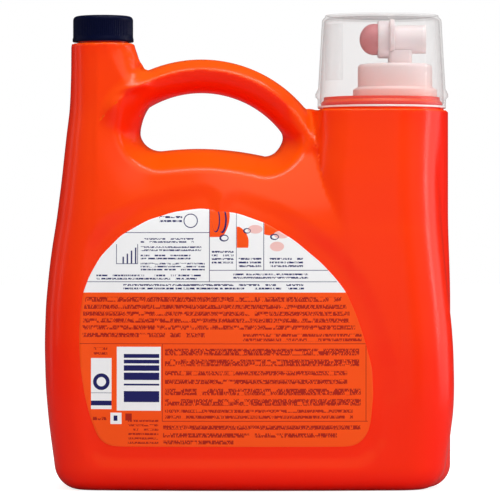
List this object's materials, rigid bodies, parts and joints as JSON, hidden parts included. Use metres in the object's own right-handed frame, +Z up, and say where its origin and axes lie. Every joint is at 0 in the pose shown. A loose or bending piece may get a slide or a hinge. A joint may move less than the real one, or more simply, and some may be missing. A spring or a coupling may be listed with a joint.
{
  "type": "laundry detergent bottle",
  "caption": "Large detergent bottle with a hollow carrying handle, a screw-capped vent neck and a press tap under a clear dosing cup.",
  "frame": {"origin": "middle of the bottle's outline, on the surface it stands on", "axes": "+Z up; +X from the vent column to the tap column; -Y towards the viewer of the picture, who sees the bottle's back"},
  "size_m": [0.2597, 0.1264, 0.3013],
  "materials": {
    "bottle_plastic": "satin orange-red blow-moulded polyethylene",
    "label_film": "printed film, white over orange",
    "cap_plastic": "semi-gloss navy, nearly black",
    "liner_foam": "matte foam",
    "tap_plastic": "natural milky polypropylene",
    "seal_rubber": "matte",
    "button_rubber": "satin dusty red",
    "stem_plastic": "natural",
    "cup_plastic": "clear moulded polypropylene"
  },
  "bodies": {
    "bottle": {"bottle": "bottle_plastic", "back_label": "label_film", "front_label": "label_film", "tap_body": "tap_plastic", "tap_gasket": "seal_rubber", "button_ring": "tap_plastic"},
    "vent_cap_lift": {"vent_cap_liner": "liner_foam"},
    "vent_cap": {"vent_cap": "cap_plastic"},
    "push_button": {"press_button": "button_rubber", "valve_stem": "stem_plastic", "valve_seal": "seal_rubber"},
    "dosing_cup": {"dosing_cup": "cup_plastic"}
  },
  "joints": [
    {"name": "vent_cap_rise", "type": "slide", "parent": "bottle", "child": "vent_cap_lift", "axis": [0, 0, 1], "range_m": [0, 0.006]},
    {"name": "vent_cap_turn", "type": "hinge", "parent": "vent_cap_lift", "child": "vent_cap", "pos_m": [-0.0937, 0, 0.29], "axis": [0, 0, 1], "range_deg": [0, 540]},
    {"name": "tap_press", "type": "slide", "parent": "bottle", "child": "push_button", "axis": [1, 0, 0], "range_m": [0, 0.0035], "stiffness_N_per_m": 2000, "springref_m": -0.001},
    {"name": "cup_lift", "type": "slide", "parent": "bottle", "child": "dosing_cup", "axis": [0, 0, 1], "range_m": [0, 0.1]}
  ],
  "couplings": [
    {"joint": "vent_cap_turn", "follows": "vent_cap_rise", "rad_per_m": 1570.8}
  ]
}
